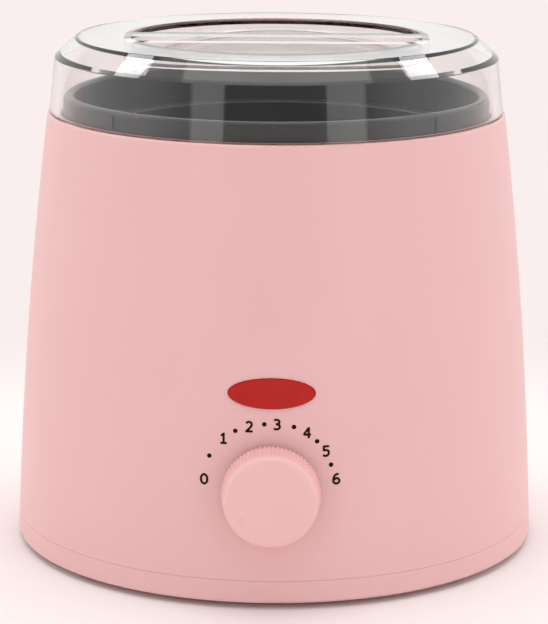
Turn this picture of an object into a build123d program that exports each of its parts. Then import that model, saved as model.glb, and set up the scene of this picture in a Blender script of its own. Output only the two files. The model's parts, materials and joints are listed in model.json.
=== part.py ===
from build123d import *
import os
from math import atan, cos, degrees, hypot, radians, sin, sqrt, tan

# Wax warmer. Millimetres, +Z up, origin on the housing's axis at the surface that the feet stand on.
# The knob faces -Y. The pot sets the radii from the inside out, and the stack under it sets the heights.

# Pot
pot_radius = 59.5  # inside
pot_depth = 64.0  # flange top to floor, inside
pot_wall = 1.2
pot_corner = 8.0  # inside floor corner
pot_flange_width = 6.0
pot_flange_thickness = 2.0
pot_flange_round = 0.6
pot_air_gap = 0.8  # pot to chamber, at the side and under the floor
pot_seat_gap = 0.5  # flange edge to collar

# Collar
collar_wall = 3.5
collar_rim_height = 12.5  # rim above the pot flange
collar_rise = 6.2  # rim above the shoulder
collar_rim_round = 1.3
collar_ledge = 3.0  # thickness under the pot flange
collar_leg = 2.3  # inner leg under the ledge
collar_skirt = 20.0  # ledge down to the collar's lower face
collar_flange_thickness = 3.0
collar_wall_gap = 0.6  # flange edge to the shell's wall
rib_count = 8
rib_width = 1.0
rib_height = 0.5
neck_gap = 0.15  # ribs to the mouth of the shell

# Lid
lid_wall = 3.2  # of the skirt
lid_cap_wall = 2.2  # of the bevel and the top
lid_height = 24.5
lid_skirt_height = 18.0
lid_draft = 6.65  # degrees
lid_bevel_width = 7.2
lid_edge_round = 0.4
lid_rim_gap = 0.45  # ribs to the lid, at the rim of the collar
lid_pocket_radius = 48.5
lid_pocket_depth = 7.0  # at the bar
lid_pocket_lip = 3.4  # depth at the rim
lid_pocket_floor = 2.6
lid_bar_width = 12.0

# Housing
side_flare = 11.7  # base radius less shoulder radius
side_bulge = 1.65  # sagitta of the side's arc
shoulder_margin = 0.4  # lid edge to shoulder edge
shoulder_round = 1.2
shoulder_wall = 3.0
shell_wall = 2.5

# Bottom cover and feet
foot_count = 4
foot_angle = 45.0
foot_radius = 8.0
foot_stand = 2.0  # below the cover
foot_socket = 1.5  # into the cover
foot_round = 0.6
foot_gap = 0.2
foot_clear = 7.3  # sockets to the heads of the cover's screws
cover_band = 7.2  # visible band under the seam
cover_floor = 2.5
cover_edge_round = 0.8
seam_round = 0.25  # both edges of the seam
spigot_height = 4.0
spigot_wall = 1.6
spigot_gap = 0.3

# Screws
screw_count = 4
screw_angle = 45.0
thread_gap = 0.05
hole_gap = 0.3
cross_width = 0.8
cross_depth = 1.0
cover_screw_radius = 1.6
cover_screw_length = 16.0
cover_head_radius = 3.2
cover_head_height = 2.2
cover_head_recess = 3.0
post_radius = 4.5
post_height = 20.0
post_overlap = 0.6  # into the shell's wall
small_screw_radius = 1.1
small_screw_length = 9.0
small_head_radius = 2.0
small_head_height = 1.5
boss_radius = 2.4
boss_gap = 0.4  # boss to the collar

# Heating chamber
chamber_wall = 1.5
chamber_corner = 5.0  # inside floor corner
chamber_edge_gap = 0.3  # flange edge inside the collar's outline

# Heater stack, from the chamber's floor down
heater_radius = 52.0
heater_bore = 20.0
heater_thickness = 6.0
tab_width = 6.0
tab_length = 12.0
tab_thickness = 0.8
insulation_thickness = 1.0
plate_radius = 46.0
plate_thickness = 1.5
tag_thickness = 0.8
tag_radius = 5.0
tag_width = 5.0
tag_length = 17.0
nut_height = 3.2
nut_across = 7.0
stud_radius = 2.0
stud_excess = 1.0
stud_gap = 0.1
heater_room = 6.4  # stud end to the thermostat's top

# Thermal fuse
fuse_radius = 2.0
fuse_length = 12.0
fuse_wire_radius = 0.6
fuse_wire_length = 4.0
fuse_start = 8.0
clip_thickness = 0.8
clip_length = 6.0
clip_ear = 3.0

# Sensor
bulb_radius = 2.5
bulb_length = 30.0
bulb_rise = 10.0  # above the chamber's underside
bulb_angle = 225.0
band_thickness = 0.7
band_height = 8.0
capillary_radius = 0.9
seat_gap = 0.1  # between fixed round faces

# Thermostat and knob
knob_height = 37.6  # axis above the ground
knob_radius = 15.7  # at the rear
knob_depth = 9.4
knob_standoff = 0.8  # to the nearest point of the wall
knob_draft = 1.2  # smaller at the face
knob_face_round = 2.2
knob_face = 2.5
knob_skirt_wall = 2.2
knob_hub_radius = 5.5
flute_count = 72
flute_radius = 0.45
flute_centre = 0.05  # outside the knob's radius, at the rear
flute_runout = 0.25  # less deep at the front end
dimple_angle = -123.0  # from the top, clockwise from the front
dimple_circle = 10.7
dimple_radius = 2.0
dimple_depth = 0.35
shaft_radius = 3.0
shaft_flat = 2.3  # axis to flat
shaft_seat = 6.0  # length inside the thermostat
shaft_end_gap = 0.3
running_gap = 0.05
shaft_hole_gap = 1.5
thermostat_width = 34.0
thermostat_height = 28.0
thermostat_depth = 20.0
thermostat_round = 2.0
terminal_drop = 8.0  # live terminal below the axis
bushing_radius = 5.0
bushing_proud = 6.0  # in front of the bracket
bushing_nut_height = 3.0
bushing_nut_across = 14.0
bracket_thickness = 1.5
bracket_height = 18.0
bracket_hole_x = 21.0
bracket_margin = 4.5
bracket_boss_radius = 3.4
bracket_screw_length = 7.0
assembly_gap = 1.0  # bosses to the collar's flange as it goes in

# Pilot lens and lamp
lens_height = 69.0  # centre above the ground
lens_width = 27.1
lens_tall = 9.5
lens_proud = 0.5
lens_gap = 0.15
lens_flange = 2.5  # wider than the window, all round
lens_flange_depth = 4.5
lamp_holder_width = 18.0
lamp_holder_tall = 10.0
lamp_holder_reach = 6.0  # behind the thermostat's front
lamp_radius = 3.0
lamp_gap = 0.2
lamp_depth = 8.0
lamp_lead_x = 4.0
lamp_lead_inset = 3.0

# Terminal block and leads
block_width = 40.0
block_depth = 16.0
block_height = 14.0
block_pitch = 10.0
block_bore = 1.8
block_bite = 5.0  # leads into the block
block_well = 2.2
block_screw_x = 16.5
block_screw_bite = 1.8
lead_radius = 1.2
lead_bend = 5.0
lead_exit = 10.0  # block to the heater's tabs
live_run = 30.0
fuse_run = 30.0
lamp_lead_radius = 0.8
capillary_rise = 4.0  # above the knob's axis

# Cord inlet
gland_bore = 3.5
gland_radius = 6.5
gland_flange_radius = 9.0
gland_flange_thickness = 3.0
gland_nose = 7.0
gland_nose_radius = 5.4
gland_pad_radius = 11.0
gland_pad_proud = 0.4
gland_margin = 2.0  # pad above the cover's spigot
gland_nut_height = 4.0
gland_nut_across = 18.0
gland_stub = 1.5  # thread past its nut

# Heights, from the ground up
base_z = foot_stand
seam_z = base_z + cover_band
floor_z = base_z + cover_floor
spigot_z = seam_z + spigot_height
thermostat_top = knob_height + thermostat_height / 2
stud_end = thermostat_top + heater_room
nut_z = stud_end + stud_excess
tag_z = nut_z + nut_height
plate_z = tag_z + tag_thickness
insulation_z = plate_z + plate_thickness
heater_z = insulation_z + insulation_thickness
chamber_z = heater_z + heater_thickness
chamber_floor_z = chamber_z + chamber_wall
pot_z = chamber_floor_z + pot_air_gap
pot_floor_z = pot_z + pot_wall
pot_top = pot_floor_z + pot_depth
ledge_z = pot_top - pot_flange_thickness
collar_z = ledge_z - collar_skirt
collar_flange_top = collar_z + collar_flange_thickness
rim_z = pot_top + collar_rim_height
shoulder_z = rim_z - collar_rise
lid_corner_z = shoulder_z + lid_skirt_height
lid_top = shoulder_z + lid_height

# Radii, from the pot out
pot_outer = pot_radius + pot_wall
pot_flange_radius = pot_outer + pot_flange_width
chamber_radius = pot_outer + pot_air_gap
chamber_outer = chamber_radius + chamber_wall
collar_inner = pot_flange_radius + pot_seat_gap
collar_radius = collar_inner + collar_wall
rib_radius = collar_radius + rib_height
neck_radius = rib_radius + neck_gap
lid_slope = tan(radians(lid_draft))
lid_skirt_wall = lid_wall * hypot(1, lid_slope)
lid_inner = rib_radius + lid_rim_gap + lid_slope * collar_rise
lid_radius = lid_inner + lid_skirt_wall
shoulder_radius = lid_radius + shoulder_margin
base_radius = shoulder_radius + side_flare

# The side is one arc of small curvature. It bulges outwards from the chord base to shoulder.
side_rise = shoulder_z - base_z
side_chord = hypot(side_flare, side_rise)
side_arc = (side_chord**2 / 4 + side_bulge**2) / (2 * side_bulge)
side_centre_r = (base_radius + shoulder_radius) / 2 - (side_arc - side_bulge) * side_rise / side_chord
side_centre_z = (base_z + shoulder_z) / 2 - (side_arc - side_bulge) * side_flare / side_chord


def side_radius(height, inset=0.0):
    """Radius of the housing's side at a height, or of a surface that lies inset within it."""
    return side_centre_r + sqrt((side_arc - inset) ** 2 - (height - side_centre_z) ** 2)


def side_arc_points(low, high, inset=0.0):
    """Start, middle and end of the side's arc between two heights."""
    return [(side_radius(z, inset), z) for z in (low, (low + high) / 2, high)]


def front_plane(reach, height):
    """Plane that faces -Y at a distance in front of the axis."""
    return Plane(origin=(0, -reach, height), x_dir=(1, 0, 0), z_dir=(0, -1, 0))


def rear_plane(reach, height):
    """Plane that faces +Y at a distance behind the axis."""
    return Plane(origin=(0, reach, height), x_dir=(-1, 0, 0), z_dir=(0, 1, 0))


def save(piece, label):
    """Label a finished piece and write it."""
    piece.part.label = label
    export_step(piece.part, f"parts/{label}.step")


os.makedirs("parts", exist_ok=True)

# Places that more than one piece shares
post_circle = side_radius(seam_z, shell_wall) + post_overlap - post_radius
head_edge = post_circle - cover_head_radius - hole_gap
foot_circle = head_edge - foot_clear - foot_gap - foot_radius
boss_circle = collar_radius + boss_gap + boss_radius
collar_flange_radius = side_radius(collar_flange_top, shell_wall) - collar_wall_gap
chamber_flange_radius = collar_radius - chamber_edge_gap
slot_inner = chamber_radius + collar_leg
chamber_screw_circle = (slot_inner + collar_inner) / 2
chamber_screw_angle = screw_angle + 180 / screw_count
bracket_front = sqrt((collar_flange_radius + assembly_gap) ** 2 - bracket_hole_x**2)
thermostat_front = bracket_front - bracket_thickness
thermostat_back = thermostat_front - thermostat_depth
bushing_end = bracket_front + bushing_proud
knob_rear = side_radius(knob_height - knob_radius) + knob_standoff
knob_front = knob_rear + knob_depth
shaft_hole_radius = shaft_radius + shaft_hole_gap
lens_back = side_radius(lens_height, shell_wall) - lens_flange_depth
gland_z = spigot_z + gland_margin + gland_pad_radius
gland_face = side_radius(gland_z - gland_pad_radius) + gland_pad_proud
gland_seat = sqrt(side_radius(gland_z + gland_pad_radius, shell_wall) ** 2 - gland_pad_radius**2)
gland_hole_radius = gland_radius + hole_gap
tab_y = heater_radius + tab_length / 2
block_rear = tab_y - lead_exit
block_y = block_rear - block_depth / 2
block_front = block_rear - block_depth
port_z = floor_z + block_height / 2
fuse_z = plate_z - seat_gap - fuse_radius
fuse_x = block_pitch
tab_z = heater_z + (heater_thickness - tab_thickness) / 2
bulb_reach = chamber_outer + seat_gap + bulb_radius
bulb_x = bulb_reach * cos(radians(bulb_angle))
bulb_y = bulb_reach * sin(radians(bulb_angle))
bulb_z = chamber_z + bulb_rise

# Housing shell
with BuildPart() as housing_shell:
    with BuildSketch(Plane.XY.offset(seam_z)):
        with PolarLocations(post_circle, screw_count, start_angle=screw_angle):
            Circle(post_radius)
    extrude(amount=post_height)
    with BuildSketch(Plane.XY.offset(collar_flange_top)):
        with PolarLocations(boss_circle, screw_count, start_angle=screw_angle):
            Circle(boss_radius)
    extrude(amount=shoulder_z - collar_flange_top)
    with BuildSketch(front_plane(bracket_front, knob_height)):
        with Locations((-bracket_hole_x, 0), (bracket_hole_x, 0)):
            Circle(bracket_boss_radius)
    extrude(amount=base_radius - bracket_front)
    # Posts and bosses end inside the wall
    with BuildSketch(Plane.XZ):
        with BuildLine():
            side = ThreePointArc(*side_arc_points(seam_z, shoulder_z, shell_wall / 2))
            Polyline(side @ 1, (0, shoulder_z), (0, seam_z), side @ 0)
        make_face()
    revolve(axis=Axis.Z, mode=Mode.INTERSECT)
    with BuildSketch(Plane.XZ) as wall_section:
        with BuildLine():
            outside = ThreePointArc(*side_arc_points(seam_z, shoulder_z))
            inside = ThreePointArc(*side_arc_points(seam_z, shoulder_z - shoulder_wall, shell_wall))
            Polyline(
                outside @ 1,
                (neck_radius, shoulder_z),
                (neck_radius, shoulder_z - shoulder_wall),
                inside @ 1,
            )
            Line(inside @ 0, outside @ 0)
        make_face()
        fillet(wall_section.vertices().group_by(Axis.Y)[-1].sort_by(Axis.X)[-1], shoulder_round)
        fillet(wall_section.vertices().group_by(Axis.Y)[0].sort_by(Axis.X)[-1], seam_round)
    revolve(axis=Axis.Z)
    # Flat pad for the cord inlet, inside and outside
    with BuildSketch(rear_plane(gland_seat, gland_z)):
        Circle(gland_pad_radius)
    extrude(amount=gland_face - gland_seat)
    with BuildSketch(rear_plane(gland_seat, gland_z)):
        Circle(gland_hole_radius)
    extrude(amount=gland_face - gland_seat, mode=Mode.SUBTRACT)
    # Window for the lens and hole for the shaft
    with BuildSketch(front_plane(lens_back, lens_height)):
        Ellipse(lens_width / 2 + lens_gap, lens_tall / 2 + lens_gap)
    extrude(amount=base_radius - lens_back, mode=Mode.SUBTRACT)
    with BuildSketch(front_plane(bracket_front, knob_height)):
        Circle(shaft_hole_radius)
    extrude(amount=base_radius - bracket_front, mode=Mode.SUBTRACT)
    # Screw pilots
    with BuildSketch(Plane.XY.offset(seam_z)):
        with PolarLocations(post_circle, screw_count, start_angle=screw_angle):
            Circle(cover_screw_radius + thread_gap)
    extrude(amount=cover_screw_length, mode=Mode.SUBTRACT)
    with BuildSketch(Plane.XY.offset(collar_flange_top)):
        with PolarLocations(boss_circle, screw_count, start_angle=screw_angle):
            Circle(small_screw_radius + thread_gap)
    extrude(amount=small_screw_length, mode=Mode.SUBTRACT)
    with BuildSketch(front_plane(bracket_front, knob_height)):
        with Locations((-bracket_hole_x, 0), (bracket_hole_x, 0)):
            Circle(small_screw_radius + thread_gap)
    extrude(amount=bracket_screw_length, mode=Mode.SUBTRACT)
save(housing_shell, "housing_shell")

# Bottom cover
spigot_outer = side_radius(spigot_z, shell_wall) - spigot_gap
with BuildPart() as bottom_cover:
    with BuildSketch(Plane.XZ) as cover_section:
        with BuildLine():
            band = ThreePointArc(*side_arc_points(base_z, seam_z))
            Polyline(
                band @ 1,
                (spigot_outer, seam_z),
                (spigot_outer, spigot_z),
                (spigot_outer - spigot_wall, spigot_z),
                (spigot_outer - spigot_wall, floor_z),
                (0, floor_z),
                (0, base_z),
                band @ 0,
            )
        make_face()
        # The rows of corners are base, floor, seam and spigot, from the lowest
        fillet(cover_section.vertices().group_by(Axis.Y)[2].sort_by(Axis.X)[-1], seam_round)
        fillet(cover_section.vertices().group_by(Axis.Y)[0].sort_by(Axis.X)[-1], cover_edge_round)
    revolve(axis=Axis.Z)
    # The spigot is cut away around the shell's posts
    with BuildSketch(Plane.XY.offset(seam_z)):
        with PolarLocations(post_circle, screw_count, start_angle=screw_angle):
            Circle(post_radius + spigot_gap)
    extrude(amount=spigot_height, mode=Mode.SUBTRACT)
    with BuildSketch(Plane.XY.offset(floor_z)):
        with PolarLocations(post_circle, screw_count, start_angle=screw_angle):
            Circle(post_radius)
    extrude(amount=seam_z - floor_z)
    with BuildSketch(Plane.XY.offset(base_z)):
        with PolarLocations(post_circle, screw_count, start_angle=screw_angle):
            Circle(cover_head_radius + hole_gap)
    extrude(amount=cover_head_recess, mode=Mode.SUBTRACT)
    with BuildSketch(Plane.XY.offset(base_z)):
        with PolarLocations(post_circle, screw_count, start_angle=screw_angle):
            Circle(cover_screw_radius + hole_gap)
    extrude(amount=cover_band, mode=Mode.SUBTRACT)
    with BuildSketch(Plane.XY.offset(base_z)):
        with PolarLocations(foot_circle, foot_count, start_angle=foot_angle):
            Circle(foot_radius + foot_gap)
    extrude(amount=foot_socket, mode=Mode.SUBTRACT)
    with BuildSketch(Plane.XY.offset(floor_z - block_screw_bite)):
        with Locations((-block_screw_x, block_y), (block_screw_x, block_y)):
            Circle(small_screw_radius + thread_gap)
    extrude(amount=block_screw_bite, mode=Mode.SUBTRACT)
save(bottom_cover, "bottom_cover")

# Feet
with BuildPart() as rubber_feet:
    with BuildSketch(Plane.XY):
        with PolarLocations(foot_circle, foot_count, start_angle=foot_angle):
            Circle(foot_radius)
    extrude(amount=foot_stand + foot_socket)
    fillet(rubber_feet.edges().group_by(Axis.Z)[0], foot_round)
save(rubber_feet, "rubber_feet")


def upward_screws(seat, places, radius, length, head_radius, head_height):
    """Cross-head screws that point up, with their heads under a seat."""
    with BuildPart() as screws:
        with BuildSketch(Plane.XY.offset(seat - head_height)):
            with places:
                Circle(head_radius)
        extrude(amount=head_height)
        with BuildSketch(Plane.XY.offset(seat)):
            with places:
                Circle(radius)
        extrude(amount=length)
        with BuildSketch(Plane.XY.offset(seat - head_height)):
            with places:
                Rectangle(head_radius, cross_width)
                Rectangle(cross_width, head_radius)
        extrude(amount=cross_depth, mode=Mode.SUBTRACT)
    return screws


# Screws of the cover, the collar and the chamber
cover_screw_seat = base_z + cover_head_recess
cover_screws = upward_screws(
    cover_screw_seat,
    PolarLocations(post_circle, screw_count, start_angle=screw_angle),
    cover_screw_radius,
    cover_screw_length,
    cover_head_radius,
    cover_head_height,
)
save(cover_screws, "cover_screws")
collar_screws = upward_screws(
    collar_z,
    PolarLocations(boss_circle, screw_count, start_angle=screw_angle),
    small_screw_radius,
    small_screw_length,
    small_head_radius,
    small_head_height,
)
save(collar_screws, "collar_screws")
chamber_flange_z = collar_z - chamber_wall
chamber_screws = upward_screws(
    chamber_flange_z,
    PolarLocations(chamber_screw_circle, screw_count, start_angle=chamber_screw_angle),
    small_screw_radius,
    small_screw_length,
    small_head_radius,
    small_head_height,
)
save(chamber_screws, "chamber_screws")

# Collar
rib_root = (collar_inner + collar_radius) / 2
with BuildPart() as collar:
    with BuildSketch(Plane.XZ) as collar_section:
        with BuildLine():
            Polyline(
                (collar_flange_radius, collar_z),
                (collar_flange_radius, collar_flange_top),
                (collar_radius, collar_flange_top),
                (collar_radius, rim_z),
                (collar_inner, rim_z),
                (collar_inner, ledge_z),
                (chamber_radius, ledge_z),
                (chamber_radius, collar_z),
                (slot_inner, collar_z),
                (slot_inner, ledge_z - collar_ledge),
                (collar_inner, ledge_z - collar_ledge),
                (collar_inner, collar_z),
                close=True,
            )
        make_face()
        fillet(collar_section.vertices().group_by(Axis.Y)[-1], collar_rim_round)
    revolve(axis=Axis.Z)
    # Ribs on the outside, above the shoulder
    with BuildSketch(Plane.XY.offset(shoulder_z)):
        with PolarLocations((rib_root + rib_radius) / 2, rib_count):
            Rectangle(rib_radius - rib_root, rib_width)
    extrude(amount=collar_rise - collar_rim_round)
    # Bosses in the slot for the chamber's screws
    with BuildSketch(Plane.XY.offset(collar_z)):
        with PolarLocations(chamber_screw_circle, screw_count, start_angle=chamber_screw_angle):
            Circle(boss_radius)
    extrude(amount=collar_skirt - collar_ledge)
    with BuildSketch(Plane.XY.offset(collar_z)):
        with PolarLocations(chamber_screw_circle, screw_count, start_angle=chamber_screw_angle):
            Circle(small_screw_radius + thread_gap)
    extrude(amount=small_screw_length, mode=Mode.SUBTRACT)
    with BuildSketch(Plane.XY.offset(collar_z)):
        with PolarLocations(boss_circle, screw_count, start_angle=screw_angle):
            Circle(small_screw_radius + hole_gap)
    extrude(amount=collar_flange_thickness, mode=Mode.SUBTRACT)
save(collar, "collar")

# Heating chamber, with the stud that carries the heater
with BuildPart() as heating_chamber:
    with BuildSketch(Plane.XZ):
        with BuildLine():
            FilletPolyline(
                (0, chamber_z),
                (chamber_outer, chamber_z),
                (chamber_outer, chamber_flange_z),
                (chamber_flange_radius, chamber_flange_z),
                (chamber_flange_radius, collar_z),
                (chamber_radius, collar_z),
                (chamber_radius, chamber_floor_z),
                (0, chamber_floor_z),
                radius=[chamber_corner + chamber_wall, 0, 0, 0, 0, chamber_corner],
            )
            Line((0, chamber_floor_z), (0, chamber_z))
        make_face()
    revolve(axis=Axis.Z)
    with BuildSketch(Plane.XY.offset(chamber_flange_z)):
        with PolarLocations(chamber_screw_circle, screw_count, start_angle=chamber_screw_angle):
            Circle(small_screw_radius + hole_gap)
    extrude(amount=chamber_wall, mode=Mode.SUBTRACT)
    with BuildSketch(Plane.XY.offset(stud_end)):
        Circle(stud_radius)
    extrude(amount=chamber_z - stud_end)
save(heating_chamber, "heating_chamber")

# Heater stack
with BuildPart() as heating_element:
    with BuildSketch(Plane.XY.offset(heater_z)):
        Circle(heater_radius)
        Circle(heater_bore, mode=Mode.SUBTRACT)
    extrude(amount=heater_thickness)
    with BuildSketch(Plane.XY.offset(tab_z)):
        with Locations((-block_pitch, heater_radius), (block_pitch, heater_radius)):
            Rectangle(tab_width, 2 * tab_length)
    extrude(amount=tab_thickness)
save(heating_element, "heating_element")


def stack_disc(height, outer, thickness):
    """Disc on the chamber's stud."""
    with BuildPart() as disc:
        with BuildSketch(Plane.XY.offset(height)):
            Circle(outer)
            Circle(stud_radius + stud_gap, mode=Mode.SUBTRACT)
        extrude(amount=thickness)
    return disc


heater_insulation = stack_disc(insulation_z, heater_radius, insulation_thickness)
save(heater_insulation, "heater_insulation")
heater_clamp_plate = stack_disc(plate_z, plate_radius, plate_thickness)
save(heater_clamp_plate, "heater_clamp_plate")
with BuildPart() as earth_tag:
    with BuildSketch(Plane.XY.offset(tag_z)):
        Circle(tag_radius)
        with Locations((0, tag_length / 2)):
            Rectangle(tag_width, tag_length)
        Circle(stud_radius + stud_gap, mode=Mode.SUBTRACT)
    extrude(amount=tag_thickness)
save(earth_tag, "earth_tag")
with BuildPart() as clamp_nut:
    with BuildSketch(Plane.XY.offset(nut_z)):
        RegularPolygon(nut_across / 2, 6, major_radius=False)
        Circle(stud_radius + stud_gap, mode=Mode.SUBTRACT)
    extrude(amount=nut_height)
save(clamp_nut, "clamp_nut")

# Thermal fuse along Y under the clamp plate, and its clip
fuse_end = fuse_start + fuse_length
with BuildPart() as thermal_fuse:
    with BuildSketch(rear_plane(fuse_start, fuse_z)):
        with Locations((-fuse_x, 0)):
            Circle(fuse_radius)
    extrude(amount=fuse_length)
    with BuildSketch(rear_plane(fuse_start - fuse_wire_length, fuse_z)):
        with Locations((-fuse_x, 0)):
            Circle(fuse_wire_radius)
    extrude(amount=fuse_length + 2 * fuse_wire_length)
save(thermal_fuse, "thermal_fuse")
clip_inner = fuse_radius + seat_gap
fuse_drop = plate_z - fuse_z
clip_outer = clip_inner + clip_thickness
with BuildPart() as fuse_clip:
    with BuildSketch(rear_plane((fuse_start + fuse_end - clip_length) / 2, plate_z)):
        with Locations((-fuse_x, -fuse_drop)):
            Circle(clip_outer)
        with Locations((-fuse_x, -fuse_drop / 2)):
            Rectangle(2 * clip_outer, fuse_drop)
        with Locations((-fuse_x, -clip_thickness / 2)):
            Rectangle(2 * (clip_outer + clip_ear), clip_thickness)
        with Locations((-fuse_x, -fuse_drop)):
            Circle(clip_inner, mode=Mode.SUBTRACT)
        with Locations((-fuse_x, -fuse_drop / 2)):
            Rectangle(2 * clip_inner, fuse_drop, mode=Mode.SUBTRACT)
        # The clip ends at the plate
        with Locations((-fuse_x, clip_outer)):
            Rectangle(2 * clip_outer, 2 * clip_outer, mode=Mode.SUBTRACT)
    extrude(amount=clip_length)
save(fuse_clip, "fuse_clip")

# Sensor bulb on the chamber's wall, and the band that holds it
with BuildPart() as sensor_bulb:
    with BuildSketch(Plane.XY.offset(bulb_z)):
        with Locations((bulb_x, bulb_y)):
            Circle(bulb_radius)
    extrude(amount=bulb_length)
    fillet(sensor_bulb.edges().group_by(Axis.Z)[-1], bulb_radius / 2)
save(sensor_bulb, "sensor_bulb")
band_inner = chamber_outer + seat_gap
with BuildPart() as sensor_band:
    with BuildSketch(Plane.XY.offset(bulb_z + (bulb_length - band_height) / 2)):
        Circle(band_inner + band_thickness)
        with Locations((bulb_x, bulb_y)):
            Circle(bulb_radius + seat_gap + band_thickness)
        Circle(band_inner, mode=Mode.SUBTRACT)
        with Locations((bulb_x, bulb_y)):
            Circle(bulb_radius + seat_gap, mode=Mode.SUBTRACT)
    extrude(amount=band_height)
save(sensor_band, "sensor_band")

# Thermostat, its nut, its bracket and the bracket's screws
with BuildPart() as thermostat_body:
    with BuildSketch(front_plane(thermostat_back, knob_height)):
        RectangleRounded(thermostat_width, thermostat_height, thermostat_round)
    extrude(amount=thermostat_depth)
    with BuildSketch(front_plane(thermostat_front, knob_height)):
        Circle(bushing_radius)
    extrude(amount=bushing_end - thermostat_front)
    with BuildSketch(front_plane(thermostat_front - shaft_seat, knob_height)):
        Circle(shaft_radius + running_gap)
    extrude(amount=bushing_end - thermostat_front + shaft_seat, mode=Mode.SUBTRACT)
save(thermostat_body, "thermostat_body")
with BuildPart() as thermostat_nut:
    with BuildSketch(front_plane(bracket_front, knob_height)):
        RegularPolygon(bushing_nut_across / 2, 6, major_radius=False)
        Circle(bushing_radius + seat_gap, mode=Mode.SUBTRACT)
    extrude(amount=bushing_nut_height)
save(thermostat_nut, "thermostat_nut")
with BuildPart() as thermostat_bracket:
    with BuildSketch(front_plane(thermostat_front, knob_height)):
        RectangleRounded(2 * (bracket_hole_x + bracket_margin), bracket_height, thermostat_round)
        Circle(bushing_radius + seat_gap, mode=Mode.SUBTRACT)
        with Locations((-bracket_hole_x, 0), (bracket_hole_x, 0)):
            Circle(small_screw_radius + hole_gap, mode=Mode.SUBTRACT)
    extrude(amount=bracket_thickness)
save(thermostat_bracket, "thermostat_bracket")
with BuildPart() as bracket_screws:
    with BuildSketch(front_plane(thermostat_front - small_head_height, knob_height)):
        with Locations((-bracket_hole_x, 0), (bracket_hole_x, 0)):
            Circle(small_head_radius)
    extrude(amount=small_head_height)
    with BuildSketch(front_plane(thermostat_front, knob_height)):
        with Locations((-bracket_hole_x, 0), (bracket_hole_x, 0)):
            Circle(small_screw_radius)
    extrude(amount=bracket_screw_length)
save(bracket_screws, "bracket_screws")

# Shaft, with a flat on the side away from the knob's dimple
shaft_end = knob_front - knob_face - shaft_end_gap
shaft_start = thermostat_front - shaft_seat + shaft_end_gap
with BuildPart() as thermostat_shaft:
    with BuildSketch(front_plane(shaft_start, knob_height)):
        Circle(shaft_radius)
    extrude(amount=shaft_end - shaft_start)
    with BuildSketch(front_plane(knob_rear, knob_height)):
        with Locations((0, shaft_flat + shaft_radius)):
            Rectangle(2 * shaft_radius, 2 * shaft_radius)
    extrude(amount=shaft_end - knob_rear, mode=Mode.SUBTRACT)
save(thermostat_shaft, "thermostat_shaft")

# Knob: a hollow tapered cap with a hub, fluted behind its rounded edge
knob_section_plane = Plane(origin=(0, 0, knob_height), x_dir=(0, -1, 0), z_dir=(-1, 0, 0))
knob_inner = knob_radius - knob_skirt_wall
knob_face_radius = knob_radius - knob_draft
knob_taper = knob_draft / knob_depth
knob_inner_front = knob_inner - knob_taper * (knob_depth - knob_face)
flute_length = knob_depth - knob_face_round
flute_tilt = degrees(atan(knob_taper - flute_runout / flute_length))
with BuildPart() as control_knob:
    with BuildSketch(knob_section_plane) as knob_section:
        with BuildLine():
            Polyline(
                (knob_rear, 0),
                (knob_rear, knob_hub_radius),
                (knob_front - knob_face, knob_hub_radius),
                (knob_front - knob_face, knob_inner_front),
                (knob_rear, knob_inner),
                (knob_rear, knob_radius),
                (knob_front, knob_face_radius),
                (knob_front, 0),
                close=True,
            )
        make_face()
        fillet(knob_section.vertices().group_by(Axis.X)[-1].sort_by(Axis.Y)[-1], knob_face_round)
    revolve(axis=Axis((0, 0, knob_height), (0, 1, 0)))
    # Each flute is half of a long cylinder that leans with the side
    with Locations(front_plane(knob_rear, knob_height)):
        with PolarLocations(knob_radius + flute_centre, flute_count):
            Cylinder(flute_radius, 2 * flute_length, rotation=(0, -flute_tilt, 0), mode=Mode.SUBTRACT)
    with BuildSketch(front_plane(knob_rear, knob_height)):
        Circle(shaft_radius + running_gap)
        with Locations((0, shaft_flat + running_gap + shaft_radius)):
            Rectangle(2 * shaft_radius, 2 * shaft_radius, mode=Mode.SUBTRACT)
    extrude(amount=knob_depth - knob_face, mode=Mode.SUBTRACT)
    dimple_x = dimple_circle * sin(radians(dimple_angle))
    dimple_z = knob_height + dimple_circle * cos(radians(dimple_angle))
    with Locations((dimple_x, -(knob_front + dimple_radius - dimple_depth), dimple_z)):
        Sphere(dimple_radius, mode=Mode.SUBTRACT)
save(control_knob, "control_knob")

# Pilot lens: an oval plug that follows the wall, with a flange behind it
with BuildPart() as indicator_lens:
    with BuildSketch(front_plane(lens_back, lens_height)):
        Ellipse(lens_width / 2 + lens_flange, lens_tall / 2 + lens_flange)
    extrude(amount=base_radius - lens_back)
    with BuildSketch(Plane.XZ):
        with BuildLine():
            flange_side = ThreePointArc(*side_arc_points(seam_z, shoulder_z, shell_wall + seat_gap))
            Polyline(flange_side @ 1, (0, shoulder_z), (0, seam_z), flange_side @ 0)
        make_face()
    revolve(axis=Axis.Z, mode=Mode.INTERSECT)
    with BuildSketch(front_plane(lens_back, lens_height)):
        Ellipse(lens_width / 2, lens_tall / 2)
    extrude(amount=base_radius - lens_back)
    with BuildSketch(Plane.XZ):
        with BuildLine():
            lens_side = ThreePointArc(*side_arc_points(seam_z, shoulder_z, -lens_proud))
            Polyline(
                lens_side @ 1,
                (2 * base_radius, shoulder_z),
                (2 * base_radius, seam_z),
                lens_side @ 0,
            )
        make_face()
    revolve(axis=Axis.Z, mode=Mode.SUBTRACT)
save(indicator_lens, "indicator_lens")

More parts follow.
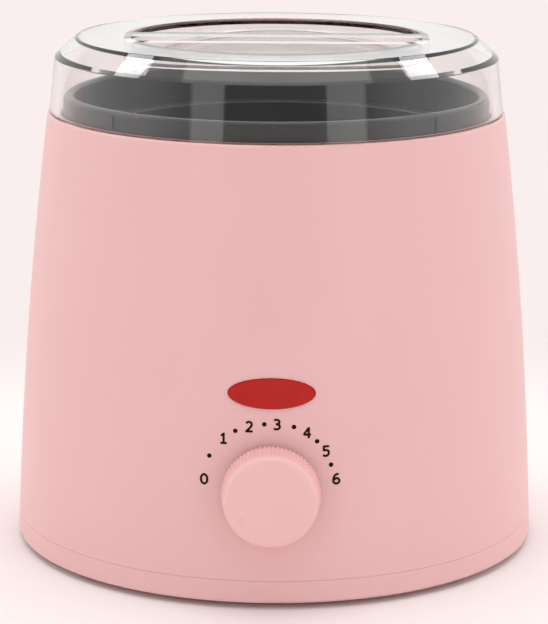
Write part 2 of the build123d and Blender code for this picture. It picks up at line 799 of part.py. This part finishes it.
# Lamp behind the lens
lamp_holder_back = thermostat_front - lamp_holder_reach
lamp_start = lens_back - lamp_depth
with BuildPart() as lamp_holder:
    with BuildSketch(front_plane(lamp_holder_back, lens_height)):
        RectangleRounded(lamp_holder_width, lamp_holder_tall, thermostat_round)
    extrude(amount=lens_back - lamp_holder_back)
    with BuildSketch(front_plane(lamp_start, lens_height)):
        Circle(lamp_radius + lamp_gap)
    extrude(amount=lamp_depth, mode=Mode.SUBTRACT)
save(lamp_holder, "lamp_holder")
with BuildPart() as neon_lamp:
    with BuildSketch(front_plane(lamp_start, lens_height)):
        Circle(lamp_radius)
    extrude(amount=lamp_depth - lamp_gap)
    fillet(neon_lamp.edges().group_by(Axis.Y)[0], lamp_radius / 2)
save(neon_lamp, "neon_lamp")

# Terminal block on the cover
with BuildPart() as terminal_block:
    with BuildSketch(Plane.XY.offset(floor_z)):
        with Locations((0, block_y)):
            RectangleRounded(block_width, block_depth, thermostat_round)
    extrude(amount=block_height)
    with BuildSketch(Plane.XY.offset(port_z)):
        with Locations(*[(x, block_y) for x in (-block_pitch, 0, block_pitch)]):
            Circle(block_well)
    extrude(amount=block_height, mode=Mode.SUBTRACT)
    with BuildSketch(rear_plane(block_front, port_z)):
        with Locations(*[(x, 0) for x in (-block_pitch, 0, block_pitch)]):
            Circle(block_bore)
    extrude(amount=block_depth, mode=Mode.SUBTRACT)
    with BuildSketch(Plane.XY.offset(floor_z)):
        with Locations((-block_screw_x, block_y), (block_screw_x, block_y)):
            Circle(small_screw_radius + hole_gap)
    extrude(amount=block_height, mode=Mode.SUBTRACT)
save(terminal_block, "terminal_block")
with BuildPart() as terminal_screws:
    with BuildSketch(Plane.XY.offset(floor_z + block_height)):
        with Locations((-block_screw_x, block_y), (block_screw_x, block_y)):
            Circle(small_head_radius)
    extrude(amount=small_head_height)
    with BuildSketch(Plane.XY.offset(floor_z - block_screw_bite)):
        with Locations((-block_screw_x, block_y), (block_screw_x, block_y)):
            Circle(small_screw_radius)
    extrude(amount=block_height + block_screw_bite)
save(terminal_screws, "terminal_screws")


def bent_tube(points, radius):
    """Round lead or tube along straight runs with rounded corners."""
    with BuildPart() as tube:
        with BuildLine() as route:
            FilletPolyline(*points, radius=lead_bend)
        with BuildSketch(Plane(origin=route.line @ 0, z_dir=route.line % 0)):
            Circle(radius)
        sweep(path=route.line)
    return tube


# Leads and the capillary tube
terminal_z = knob_height - terminal_drop
live_lead = bent_tube(
    [
        (-block_pitch, block_front + block_bite, port_z),
        (-block_pitch, block_front - live_run, port_z),
        (-block_pitch, block_front - live_run, terminal_z),
        (-block_pitch, -thermostat_back, terminal_z),
    ],
    lead_radius,
)
save(live_lead, "live_lead")
fuse_lead = bent_tube(
    [
        (fuse_x, -thermostat_back, knob_height),
        (fuse_x, -fuse_run, knob_height),
        (fuse_x, -fuse_run, fuse_z),
        (fuse_x, fuse_start - fuse_wire_length, fuse_z),
    ],
    lead_radius,
)
save(fuse_lead, "fuse_lead")
heater_lead = bent_tube(
    [
        (fuse_x, fuse_end + fuse_wire_length, fuse_z),
        (fuse_x, tab_y, fuse_z),
        (fuse_x, tab_y, tab_z),
    ],
    lead_radius,
)
save(heater_lead, "heater_lead")
neutral_lead = bent_tube(
    [
        (-block_pitch, block_rear - block_bite, port_z),
        (-block_pitch, tab_y, port_z),
        (-block_pitch, tab_y, tab_z),
    ],
    lead_radius,
)
save(neutral_lead, "neutral_lead")
tag_end_y = tag_length - lead_radius - seat_gap
earth_lead = bent_tube(
    [
        (0, block_front + block_bite, port_z),
        (0, tag_end_y, port_z),
        (0, tag_end_y, tag_z),
    ],
    lead_radius,
)
save(earth_lead, "earth_lead")
lamp_lead_y = -(thermostat_front - lamp_lead_inset)
lamp_lead_top = lens_height - lamp_holder_tall / 2
with BuildPart() as lamp_leads:
    with BuildSketch(Plane.XY.offset(thermostat_top)):
        with Locations((-lamp_lead_x, lamp_lead_y), (lamp_lead_x, lamp_lead_y)):
            Circle(lamp_lead_radius)
    extrude(amount=lamp_lead_top - thermostat_top)
save(lamp_leads, "lamp_leads")
capillary_z = knob_height + capillary_rise
capillary_y = -(thermostat_front + thermostat_back) / 2
capillary_tube = bent_tube(
    [
        (bulb_x, bulb_y, bulb_z),
        (bulb_x, bulb_y, capillary_z),
        (bulb_x, capillary_y, capillary_z),
        (-thermostat_width / 2, capillary_y, capillary_z),
    ],
    capillary_radius,
)
save(capillary_tube, "capillary_tube")

# Cord inlet at the rear, and its nut
gland_end = gland_face + gland_flange_thickness + gland_nose
gland_start = gland_seat - gland_nut_height - gland_stub
gland_section_plane = Plane(origin=(0, 0, gland_z), x_dir=(0, 1, 0), z_dir=(1, 0, 0))
with BuildPart() as cord_gland:
    with BuildSketch(gland_section_plane):
        with BuildLine():
            Polyline(
                (gland_start, gland_bore),
                (gland_start, gland_radius),
                (gland_face, gland_radius),
                (gland_face, gland_flange_radius),
                (gland_face + gland_flange_thickness, gland_flange_radius),
                (gland_face + gland_flange_thickness, gland_radius),
                (gland_end, gland_nose_radius),
                (gland_end, gland_bore),
                close=True,
            )
        make_face()
    revolve(axis=Axis((0, 0, gland_z), (0, 1, 0)))
save(cord_gland, "cord_gland")
with BuildPart() as gland_nut:
    with BuildSketch(rear_plane(gland_seat - gland_nut_height, gland_z)):
        RegularPolygon(gland_nut_across / 2, 6, major_radius=False)
        Circle(gland_radius + seat_gap, mode=Mode.SUBTRACT)
    extrude(amount=gland_nut_height)
save(gland_nut, "gland_nut")

# Pot
with BuildPart() as wax_pot:
    with BuildSketch(Plane.XZ):
        with BuildLine():
            FilletPolyline(
                (0, pot_z),
                (pot_outer, pot_z),
                (pot_outer, ledge_z),
                (pot_flange_radius, ledge_z),
                (pot_flange_radius, pot_top),
                (pot_radius, pot_top),
                (pot_radius, pot_floor_z),
                (0, pot_floor_z),
                radius=[pot_corner + pot_wall, 0, 0, pot_flange_round, pot_flange_round, pot_corner],
            )
            Line((0, pot_floor_z), (0, pot_z))
        make_face()
    revolve(axis=Axis.Z)
save(wax_pot, "wax_pot")

# Lid: the inner outline runs one wall inside the outer one, and the skirt is thicker
lid_corner = lid_radius - lid_slope * lid_skirt_height
lid_bevel_height = lid_height - lid_skirt_height
lid_bevel_slope = lid_bevel_width / lid_bevel_height
lid_bevel_wall = lid_cap_wall * hypot(1, lid_bevel_slope)
lid_inner_rise = lid_skirt_height - (lid_bevel_wall - lid_skirt_wall) / (lid_bevel_slope - lid_slope)
lid_inner_corner = lid_inner - lid_slope * lid_inner_rise
lid_inner_top = lid_corner - lid_bevel_wall - lid_bevel_slope * (lid_bevel_height - lid_cap_wall)
lid_ceiling = lid_top - lid_cap_wall
pocket_floor_z = lid_top - lid_pocket_depth
pocket_lip_z = lid_top - lid_pocket_lip


def pocket_pair(inner, outer, inner_z, outer_z, top):
    """Front and rear wedge under a round outline, deepest beside the bar."""
    with BuildPart() as pair:
        with BuildSketch(Plane.YZ):
            with BuildLine():
                Polyline((inner, inner_z), (outer, outer_z), (outer, top), (inner, top), close=True)
            make_face()
            mirror(about=Plane.YZ)
        extrude(amount=outer, both=True)
        with BuildSketch(Plane.XY.offset(inner_z)):
            Circle(outer)
        extrude(amount=top - inner_z, mode=Mode.INTERSECT)
    return pair.part


with BuildPart() as lid:
    with BuildSketch(Plane.XZ) as lid_section:
        with BuildLine():
            Polyline(
                (lid_radius, shoulder_z),
                (lid_corner, lid_corner_z),
                (lid_corner - lid_bevel_width, lid_top),
                (0, lid_top),
                (0, lid_ceiling),
                (lid_inner_top, lid_ceiling),
                (lid_inner_corner, shoulder_z + lid_inner_rise),
                (lid_inner, shoulder_z),
                close=True,
            )
        make_face()
        fillet(lid_section.vertices().group_by(Axis.Y)[-1].sort_by(Axis.X)[-1], lid_edge_round)
        fillet(lid_section.vertices().filter_by_position(Axis.Y, lid_corner_z, lid_corner_z), lid_edge_round)
    revolve(axis=Axis.Z)
    add(
        pocket_pair(
            lid_bar_width / 2 - lid_cap_wall,
            lid_pocket_radius + lid_cap_wall,
            pocket_floor_z - lid_pocket_floor,
            pocket_lip_z - lid_pocket_floor,
            lid_ceiling,
        )
    )
    add(
        pocket_pair(lid_bar_width / 2, lid_pocket_radius, pocket_floor_z, pocket_lip_z, lid_top),
        mode=Mode.SUBTRACT,
    )
save(lid, "lid")
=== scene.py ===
import json
from math import cos, hypot, pi, radians, sin, sqrt

import bpy
import numpy as np
from mathutils import Matrix, Vector


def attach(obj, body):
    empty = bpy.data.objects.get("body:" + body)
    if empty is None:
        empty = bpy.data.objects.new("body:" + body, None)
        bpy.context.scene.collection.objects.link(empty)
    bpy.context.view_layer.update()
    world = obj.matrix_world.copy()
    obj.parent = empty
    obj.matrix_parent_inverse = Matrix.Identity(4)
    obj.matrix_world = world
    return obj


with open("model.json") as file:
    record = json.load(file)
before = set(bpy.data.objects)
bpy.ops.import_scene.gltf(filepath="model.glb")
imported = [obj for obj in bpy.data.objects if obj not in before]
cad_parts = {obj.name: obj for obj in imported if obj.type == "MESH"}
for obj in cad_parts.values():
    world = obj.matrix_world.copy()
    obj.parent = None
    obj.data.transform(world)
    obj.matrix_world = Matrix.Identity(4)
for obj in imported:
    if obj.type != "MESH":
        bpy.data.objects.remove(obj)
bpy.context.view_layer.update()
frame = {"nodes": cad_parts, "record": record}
nodes = frame["nodes"]
MM = 0.001

# Sizes of the solids, in millimetres
base_z = 2.0
base_radius = 87.6945
shoulder_z = 145.3
shoulder_radius = 75.9945
side_bulge = 1.65
dial_z = 38.7

# The side's arc, as in the solids
side_flare = base_radius - shoulder_radius
side_rise = shoulder_z - base_z
side_chord = hypot(side_flare, side_rise)
side_arc = (side_chord**2 / 4 + side_bulge**2) / (2 * side_bulge)
side_centre_r = (base_radius + shoulder_radius) / 2 - (side_arc - side_bulge) * side_rise / side_chord
side_centre_z = (base_z + shoulder_z) / 2 - (side_arc - side_bulge) * side_flare / side_chord


def side_radius(height):
    """Radius of the housing's side at a height, in millimetres."""
    return side_centre_r + sqrt(side_arc**2 - (height - side_centre_z) ** 2)


def linear(red, green, blue):
    """Linear colour of an 8-bit display colour."""
    values = [c / 255 for c in (red, green, blue)]
    return [c / 12.92 if c <= 0.04045 else ((c + 0.055) / 1.055) ** 2.4 for c in values] + [1.0]


def scaled(colour, factor):
    """A colour made lighter or darker."""
    return [min(c * factor, 1.0) for c in colour[:3]] + [1.0]


# Node helpers. Sizes of patterns are in millimetres.
def add(tree, kind, **settings):
    """New node with its settings."""
    node = tree.nodes.new(kind)
    for key, value in settings.items():
        setattr(node, key, value)
    return node


def noise(tree, size, detail=2.0, stretch=(1, 1, 1)):
    """Noise in the piece's own space, with patches of about a size."""
    coords = add(tree, "ShaderNodeTexCoord")
    mapping = add(tree, "ShaderNodeMapping")
    mapping.inputs["Scale"].default_value = stretch
    node = add(tree, "ShaderNodeTexNoise")
    node.inputs["Scale"].default_value = 1 / (size * MM)
    node.inputs["Detail"].default_value = detail
    tree.links.new(coords.outputs["Object"], mapping.inputs["Vector"])
    tree.links.new(mapping.outputs["Vector"], node.inputs["Vector"])
    return node.outputs["Fac"]


def spread(tree, source, low, high):
    """A noise's usual span taken to low and high."""
    node = add(tree, "ShaderNodeMapRange")
    node.inputs["From Min"].default_value = 0.3
    node.inputs["From Max"].default_value = 0.7
    node.inputs["To Min"].default_value = low
    node.inputs["To Max"].default_value = high
    tree.links.new(source, node.inputs["Value"])
    return node.outputs["Result"]


def mix_colours(tree, source, first, second):
    """Colour between two by a factor."""
    node = add(tree, "ShaderNodeMix", data_type="RGBA")
    node.inputs["A"].default_value = first
    node.inputs["B"].default_value = second
    tree.links.new(source, node.inputs["Factor"])
    return node.outputs["Result"]


def relief(tree, source, depth, before=None):
    """Bump of a depth in millimetres, on top of another one."""
    node = add(tree, "ShaderNodeBump")
    node.inputs["Strength"].default_value = 1.0
    node.inputs["Distance"].default_value = depth * MM
    tree.links.new(source, node.inputs["Height"])
    if before is not None:
        tree.links.new(before, node.inputs["Normal"])
    return node.outputs["Normal"]


def surface(
    name,
    colour,
    rough,
    tint=0.03,
    patch=18.0,
    grain=0.35,
    depth=0.004,
    metallic=0.0,
    stretch=(1, 1, 1),
    shine=0.5,
):
    """Solid material: slow change of tint and gloss, and a fine grain in the surface."""
    mat = bpy.data.materials.new(name)
    mat.use_nodes = True
    tree = mat.node_tree
    shader = tree.nodes["Principled BSDF"]
    shader.inputs["Metallic"].default_value = metallic
    shader.inputs["Specular IOR Level"].default_value = shine
    slow = noise(tree, patch, 3.0, stretch)
    fine = noise(tree, grain, 2.0, stretch)
    factor = spread(tree, slow, 0.0, 1.0)
    tinted = mix_colours(tree, factor, scaled(colour, 1 - tint), scaled(colour, 1 + tint))
    tree.links.new(tinted, shader.inputs["Base Color"])
    tree.links.new(spread(tree, slow, rough * 0.88, rough * 1.12), shader.inputs["Roughness"])
    tree.links.new(relief(tree, fine, depth), shader.inputs["Normal"])
    return mat


def clear(name, colour, rough, ior):
    """Clear material that lets the lamps through."""
    mat = bpy.data.materials.new(name)
    mat.use_nodes = True
    tree = mat.node_tree
    shader = tree.nodes["Principled BSDF"]
    shader.inputs["Base Color"].default_value = colour
    shader.inputs["Transmission Weight"].default_value = 1.0
    shader.inputs["IOR"].default_value = ior
    tree.links.new(spread(tree, noise(tree, 9.0, 4.0), 0.0, rough), shader.inputs["Roughness"])
    path = add(tree, "ShaderNodeLightPath")
    through = add(tree, "ShaderNodeBsdfTransparent")
    through.inputs["Color"].default_value = colour
    mix = add(tree, "ShaderNodeMixShader")
    tree.links.new(path.outputs["Is Shadow Ray"], mix.inputs["Fac"])
    tree.links.new(shader.outputs["BSDF"], mix.inputs[1])
    tree.links.new(through.outputs["BSDF"], mix.inputs[2])
    tree.links.new(mix.outputs["Shader"], tree.nodes["Material Output"].inputs["Surface"])
    return mat


# Materials, by the record's slots
pink = linear(237, 189, 188)
pink_light = linear(242, 192, 189)
finishes = {
    "pink_plastic": surface("pink_plastic", pink, 0.38, tint=0.012, patch=40.0, grain=0.4, depth=0.0015),
    "pink_knob": surface("pink_knob", pink_light, 0.42, tint=0.012, patch=12.0, grain=0.3, depth=0.002),
    "dial_ink": surface("dial_ink", linear(34, 10, 14), 0.6, tint=0.1, patch=1.5, shine=0.1),
    "dark_plastic": surface(
        "dark_plastic", linear(50, 50, 52), 0.34,
        tint=0.08, patch=12.0, grain=0.5, depth=0.0012,
    ),
    "clear_plastic": clear("clear_plastic", linear(252, 250, 249), 0.03, 1.49),
    "red_lens": surface("red_lens", linear(184, 22, 14), 0.16, tint=0.06, patch=6.0, shine=0.3),
    "coated_pot": surface(
        "coated_pot", linear(34, 34, 36), 0.42,
        tint=0.15, patch=3.0, grain=0.4, depth=0.008,
    ),
    "bare_aluminium": surface(
        "bare_aluminium", linear(208, 210, 213), 0.32,
        metallic=1.0, stretch=(1, 1, 14),
    ),
    "cast_aluminium": surface(
        "cast_aluminium", linear(168, 169, 170), 0.55,
        metallic=1.0, grain=0.6, depth=0.03,
    ),
    "zinc_steel": surface("zinc_steel", linear(196, 198, 200), 0.34, tint=0.08, patch=2.5, metallic=1.0),
    "brass_plain": surface("brass_plain", linear(205, 172, 104), 0.3, tint=0.06, patch=3.0, metallic=1.0),
    "copper_tube": surface("copper_tube", linear(200, 128, 96), 0.32, tint=0.1, patch=4.0, metallic=1.0),
    "mica": surface("mica", linear(200, 186, 158), 0.6, tint=0.15, patch=2.0, grain=0.6, depth=0.03),
    "switch_plastic": surface("switch_plastic", linear(46, 44, 43), 0.48, tint=0.1, patch=5.0),
    "block_plastic": surface("block_plastic", linear(228, 225, 216), 0.45, tint=0.03, patch=6.0),
    "gland_plastic": surface(
        "gland_plastic", linear(42, 42, 43), 0.5,
        tint=0.1, patch=4.0, grain=0.3, depth=0.01,
    ),
    "lamp_glass": clear("lamp_glass", linear(250, 232, 224), 0.05, 1.5),
    "rubber_grey": surface(
        "rubber_grey", linear(58, 57, 57), 0.75,
        tint=0.12, patch=4.0, grain=0.4, depth=0.02,
    ),
    "lead_brown": surface("lead_brown", linear(112, 66, 42), 0.5, tint=0.08, patch=5.0),
    "lead_blue": surface("lead_blue", linear(52, 92, 160), 0.5, tint=0.08, patch=5.0),
    "lead_green": surface("lead_green", linear(140, 165, 62), 0.5, tint=0.12, patch=5.0, stretch=(1, 1, 3)),
}
for row in frame["record"]["subparts"]:
    nodes[row["node"]].material_slots[0].material = finishes[row["material_slot"]]


# Dial print. Strokes are drawn in a cell one unit wide and one high, then laid on the wall.
digit_width = 1.92
digit_height = 3.0
stroke = 0.68
dot_radius = 0.72
ink_height = 0.03
ink_depth = 0.05
# Places on the wall from the dial's centre, sideways and up, read off the photo
digit_places = {
    "0": (-20.9, 2.6),
    "1": (-15.0, 15.9),
    "2": (-6.9, 19.9),
    "3": (1.7, 20.7),
    "4": (11.1, 18.0),
    "5": (17.0, 12.0),
    "6": (20.3, 3.0),
}
dot_places = [(-19.3, 10.1), (-11.2, 18.4), (-2.2, 20.7), (7.0, 19.9), (14.2, 15.2), (18.6, 7.6)]
strokes = {
    "0": [
        [(0.5, 1), (0.08, 0.8), (0, 0.5), (0.08, 0.2), (0.5, 0)]
        + [(0.92, 0.2), (1, 0.5), (0.92, 0.8), (0.5, 1)],
    ],
    "1": [[(0.6, 0), (0.6, 1.08)], [(0.14, 0.8), (0.4, 0.84), (0.58, 1.0)], [(0.08, 0), (1.1, 0)]],
    "2": [
        [(0.02, 0.86), (0.42, 1), (0.86, 0.88), (0.88, 0.62), (0.6, 0.36), (0.05, 0.02)],
        [(-0.1, 0), (1.08, 0)],
    ],
    "3": [
        [(0.04, 0.94), (0.45, 1), (0.87, 0.86), (0.82, 0.62), (0.36, 0.53)],
        [(0.36, 0.53), (0.84, 0.46), (0.98, 0.24), (0.74, 0.04), (0.36, 0), (0.0, 0.07)],
    ],
    "4": [[(0.76, -0.08), (0.76, 1.08)], [(0.76, 1.02), (-0.04, 0.32)], [(-0.1, 0.3), (1.12, 0.3)]],
    "5": [
        [(1.0, 1), (0.06, 1)],
        [(0.14, 1.05), (0.14, 0.5)],
        [(0.14, 0.56), (0.5, 0.61), (0.88, 0.5), (0.94, 0.24), (0.7, 0.03), (0.36, 0), (0.0, 0.07)],
    ],
    "6": [
        [(0.86, 0.98), (0.56, 1), (0.2, 0.82), (0.02, 0.46), (0.08, 0.14), (0.5, 0), (0.9, 0.12)]
        + [(0.96, 0.38), (0.6, 0.58), (0.1, 0.42)],
    ],
}


def smooth_line(points, closed, steps=8):
    """Catmull-Rom line through points, or a divided straight line for two points."""
    if len(points) == 2:
        start, span = np.array(points[0]), np.array(points[1]) - points[0]
        return [tuple(start + span * i / steps) for i in range(steps + 1)]
    line = []
    count = len(points)
    for i in range(count - 1):
        p1, p2 = np.array(points[i]), np.array(points[i + 1])
        p0, p3 = 2 * p1 - p2, 2 * p2 - p1
        if i or closed:
            p0 = np.array(points[i - 1] if i else points[-2])
        if i + 2 < count or closed:
            p3 = np.array(points[i + 2] if i + 2 < count else points[1])
        for k in range(steps):
            t = k / steps
            square = 2 * p0 - 5 * p1 + 4 * p2 - p3
            cube = 3 * p1 - p0 - 3 * p2 + p3
            line.append(tuple(0.5 * (2 * p1 + (p2 - p0) * t + square * t**2 + cube * t**3)))
    line.append(tuple(points[-1]))
    return line


def ribbon(line, half):
    """Flat band of even width along a line: its points and four-sided faces."""
    line = np.array(line)
    along = np.gradient(line, axis=0)
    if np.allclose(line[0], line[-1]):
        along[0] = along[-1] = line[1] - line[-2]
    along /= np.linalg.norm(along, axis=1)[:, None]
    aside = np.stack([-along[:, 1], along[:, 0]], axis=1) * half
    points = np.concatenate([line + aside, line - aside])
    count = len(line)
    faces = [(i, i + 1, count + i + 1, count + i) for i in range(count - 1)]
    return points, faces


def disc(centre, radius, count=28):
    """Flat disc: its points and faces."""
    turn = [2 * pi * i / count for i in range(count)]
    points = np.array([centre] + [(centre[0] + radius * cos(a), centre[1] + radius * sin(a)) for a in turn])
    faces = [(0, 1 + i, 1 + (i + 1) % count) for i in range(count)]
    return points, faces


def on_wall(x, height, proud):
    """Point of the front wall, in metres."""
    radius = side_radius(height) + proud
    return (x * MM, -sqrt(radius**2 - x**2) * MM, height * MM)


def new_piece(name, verts, faces, body, slot):
    """Mesh piece that rides on a body, with the finish of a slot."""
    mesh = bpy.data.meshes.new(name)
    mesh.from_pydata([tuple(v) for v in verts], [], faces)
    mesh.validate()
    piece = bpy.data.objects.new(name, mesh)
    bpy.context.scene.collection.objects.link(piece)
    mesh.materials.append(finishes[slot])
    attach(piece, body)
    return piece


def dial_print():
    """Digits and dots of the dial, laid on the wall as a thin film."""
    verts, faces = [], []

    def lay(points, shapes):
        start = len(verts)
        verts.extend(on_wall(x, z, ink_height) for x, z in points)
        faces.extend(tuple(start + i for i in face) for face in shapes)

    for digit, (x, z) in digit_places.items():
        for points in strokes[digit]:
            closed = points[0] == points[-1]
            cell = [((u - 0.5) * digit_width + x, (v - 0.5) * digit_height + dial_z + z) for u, v in points]
            lay(*ribbon(smooth_line(cell, closed), stroke / 2))
    for x, z in dot_places:
        lay(*disc((x, dial_z + z), dot_radius))
    piece = new_piece("dial_print", verts, faces, "housing", "dial_ink")
    film = piece.modifiers.new("film", "SOLIDIFY")
    film.thickness = ink_depth * MM
    film.offset = -1.0


dial_print()

# Floor
paper = linear(250, 239, 238)
floor_paint = linear(245, 238, 237)
floor_half = 6.0
fade_start = 0.12
fade_end = 0.3


def floor_material():
    """Pale paper. It keeps the shadow near the object and turns to an even tone further out."""
    mat = bpy.data.materials.new("paper_floor")
    mat.use_nodes = True
    tree = mat.node_tree
    tree.nodes.remove(tree.nodes["Principled BSDF"])
    paint = add(tree, "ShaderNodeBsdfDiffuse")
    paint.inputs["Color"].default_value = floor_paint
    glow = add(tree, "ShaderNodeEmission")
    glow.inputs["Color"].default_value = paper
    glow.inputs["Strength"].default_value = 1.0
    coords = add(tree, "ShaderNodeTexCoord")
    reach = add(tree, "ShaderNodeVectorMath", operation="LENGTH")
    fade = add(tree, "ShaderNodeMapRange", interpolation_type="SMOOTHSTEP")
    fade.inputs["From Min"].default_value = fade_start
    fade.inputs["From Max"].default_value = fade_end
    path = add(tree, "ShaderNodeLightPath")
    glossy = add(tree, "ShaderNodeMath", operation="MAXIMUM")
    seen = add(tree, "ShaderNodeMath", operation="MAXIMUM")
    factor = add(tree, "ShaderNodeMath", operation="MULTIPLY")
    mix = add(tree, "ShaderNodeMixShader")
    tree.links.new(coords.outputs["Object"], reach.inputs[0])
    tree.links.new(reach.outputs["Value"], fade.inputs["Value"])
    tree.links.new(path.outputs["Is Glossy Ray"], glossy.inputs[0])
    tree.links.new(path.outputs["Is Transmission Ray"], glossy.inputs[1])
    tree.links.new(path.outputs["Is Camera Ray"], seen.inputs[0])
    tree.links.new(glossy.outputs["Value"], seen.inputs[1])
    tree.links.new(fade.outputs["Result"], factor.inputs[0])
    tree.links.new(seen.outputs["Value"], factor.inputs[1])
    tree.links.new(factor.outputs["Value"], mix.inputs["Fac"])
    tree.links.new(paint.outputs["BSDF"], mix.inputs[1])
    tree.links.new(glow.outputs["Emission"], mix.inputs[2])
    tree.links.new(mix.outputs["Shader"], tree.nodes["Material Output"].inputs["Surface"])
    return mat


floor_mesh = bpy.data.meshes.new("floor")
corners = [(x * floor_half, y * floor_half, 0) for x, y in ((-1, -1), (1, -1), (1, 1), (-1, 1))]
floor_mesh.from_pydata(corners, [], [(0, 1, 2, 3)])
floor = bpy.data.objects.new("floor", floor_mesh)
bpy.context.scene.collection.objects.link(floor)
floor_mesh.materials.append(floor_material())

# World: even pale light, darker on the camera's side
world_light = [1.0, 1.0, 1.0, 1.0]
world_dark = [0.3, 0.295, 0.295, 1.0]
world = bpy.data.worlds.new("studio")
bpy.context.scene.world = world
world.use_nodes = True
sky = world.node_tree
background = sky.nodes["Background"]
sky_coords = add(sky, "ShaderNodeTexCoord")
facing = add(sky, "ShaderNodeVectorMath", operation="DOT_PRODUCT")
facing.inputs[1].default_value = (0.0, -1.0, 0.0)
front = add(sky, "ShaderNodeMapRange", interpolation_type="SMOOTHSTEP")
front.inputs["From Min"].default_value = 0.3
front.inputs["From Max"].default_value = 0.95
sky.links.new(sky_coords.outputs["Generated"], facing.inputs[0])
sky.links.new(facing.outputs["Value"], front.inputs["Value"])
shade = mix_colours(sky, front.outputs["Result"], world_light, world_dark)
sky_path = add(sky, "ShaderNodeLightPath")
seen_sky = add(sky, "ShaderNodeMix", data_type="RGBA")
seen_sky.inputs["B"].default_value = paper
sky.links.new(sky_path.outputs["Is Camera Ray"], seen_sky.inputs["Factor"])
sky.links.new(shade, seen_sky.inputs["A"])
sky.links.new(seen_sky.outputs["Result"], background.inputs["Color"])
background.inputs["Strength"].default_value = 1.0


def softbox(name, azimuth, elevation, distance, width, height, power):
    """Rectangular lamp that faces the object. Azimuth is from the camera's side, to the right."""
    lamp = bpy.data.lights.new(name, "AREA")
    lamp.shape = "RECTANGLE"
    lamp.size = width
    lamp.size_y = height
    lamp.energy = power
    turn, lift = radians(azimuth), radians(elevation)
    away = Vector((sin(turn) * cos(lift), -cos(turn) * cos(lift), sin(lift)))
    target = Vector((0, 0, 0.09))
    holder = bpy.data.objects.new(name, lamp)
    holder.location = target + away * distance
    holder.rotation_euler = (-away).to_track_quat("-Z", "Y").to_euler()
    bpy.context.scene.collection.objects.link(holder)


softbox("left_box", -33, 12, 1.1, 0.32, 0.9, 0.9)
softbox("right_box", 35, 12, 1.1, 0.38, 0.9, 1.1)
softbox("rear_left_box", -122, 50, 1.2, 0.2, 0.2, 0.8)
softbox("rear_right_box", 122, 50, 1.2, 0.2, 0.2, 0.8)
softbox("top_box", 0, 88, 1.2, 1.1, 1.1, 4.0)

# Camera, as the photograph was taken
camera_place = Vector((0.0, -0.8661, 0.2757))
camera_pitch = radians(13.01)
camera_yaw = radians(-0.03)
camera_roll = radians(0.28)
camera_swing = radians(0.71)  # about the object's axis, towards the right
focal_pixels = 2617.9
image_height = 624
camera_data = bpy.data.cameras.new("camera")
camera_data.sensor_width = 36.0
camera_data.lens = focal_pixels * camera_data.sensor_width / image_height
camera = bpy.data.objects.new("camera", camera_data)
ahead = Vector((sin(camera_yaw) * cos(camera_pitch), cos(camera_yaw) * cos(camera_pitch), -sin(camera_pitch)))
right = Vector((cos(camera_yaw), -sin(camera_yaw), 0.0))
up = right.cross(ahead)
right_rolled = right * cos(camera_roll) + up * sin(camera_roll)
up_rolled = up * cos(camera_roll) - right * sin(camera_roll)
turned = Matrix((right_rolled, up_rolled, -ahead)).transposed()
swing = Matrix.Rotation(camera_swing, 4, "Z")
camera.matrix_world = swing @ Matrix.Translation(camera_place) @ turned.to_4x4()
bpy.context.scene.collection.objects.link(camera)
bpy.context.scene.camera = camera

bpy.context.scene.view_settings.view_transform = "Standard"
